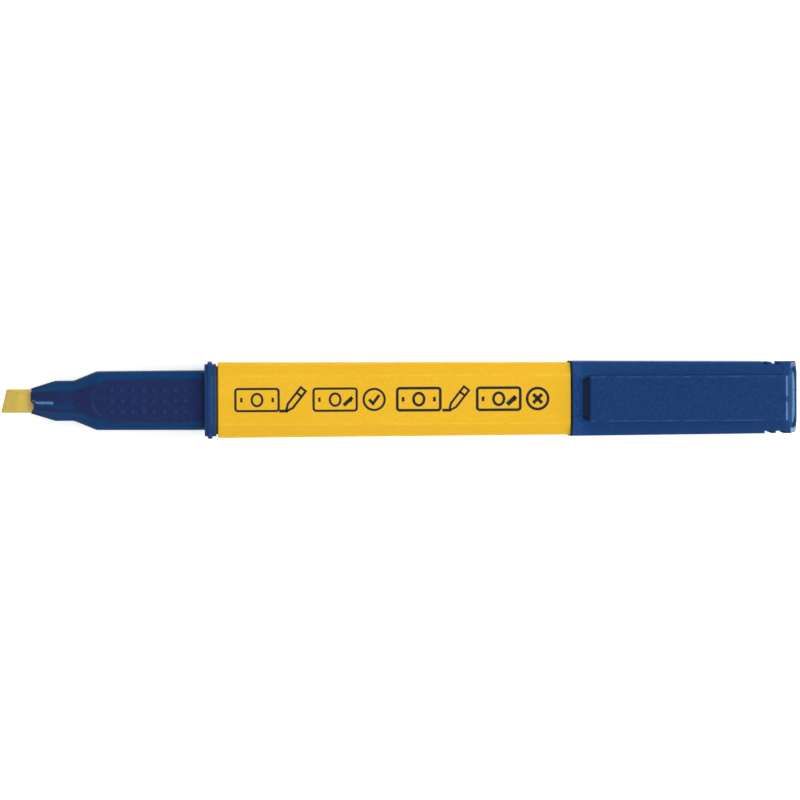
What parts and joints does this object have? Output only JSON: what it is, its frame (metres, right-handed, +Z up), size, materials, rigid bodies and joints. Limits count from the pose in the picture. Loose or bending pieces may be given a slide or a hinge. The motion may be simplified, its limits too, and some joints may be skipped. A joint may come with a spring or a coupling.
{
  "type": "counterfeit detector pen",
  "caption": "Banknote tester pen: amber chisel nib, translucent finger-grip section, flat eight-sided barrel and a clip cap posted on its tail.",
  "frame": {"origin": "centre of the posted pen's length and width, at the level of the cap's flat back, on which the pen lies", "axes": "+X towards the closed end of the posted cap, +Y across the broad faces, +Z up out of the broad face that carries the pocket clip"},
  "size_m": [0.1564, 0.015, 0.0118],
  "materials": {
    "barrel_yellow": "smooth moulded, slightly glossy",
    "tail_blue": "moulded",
    "section_blue": "smoky translucent",
    "fibre_amber": "bonded fibre soaked in fluid",
    "reservoir_fibre": "soft bonded fibre",
    "reservoir_film": "thin clear film",
    "cap_blue": "fine-textured moulded",
    "plug_blue": "moulded",
    "clip_blue": "fine-textured moulded",
    "seal_white": "natural"
  },
  "bodies": {
    "pen": {"barrel": "barrel_yellow", "tail_plug": "tail_blue", "front_section": "section_blue", "nib": "fibre_amber", "reservoir_core": "reservoir_fibre", "reservoir_wrap": "reservoir_film"},
    "cap": {"cap_shell": "cap_blue", "inner_cap": "seal_white", "cap_end_plug": "plug_blue"},
    "clip": {"pocket_clip": "clip_blue"}
  },
  "joints": [
    {"name": "cap_slide", "type": "slide", "parent": "pen", "child": "cap", "axis": [1, 0, 0], "range_m": [0, 0.02]},
    {"name": "clip_flex", "type": "hinge", "parent": "cap", "child": "clip", "pos_m": [0.07325, 0, 0.0111], "axis": [0, 1, 0], "range_deg": [0, 4], "stiffness_Nm_per_rad": 0.6, "springref_deg": -1.15}
  ]
}
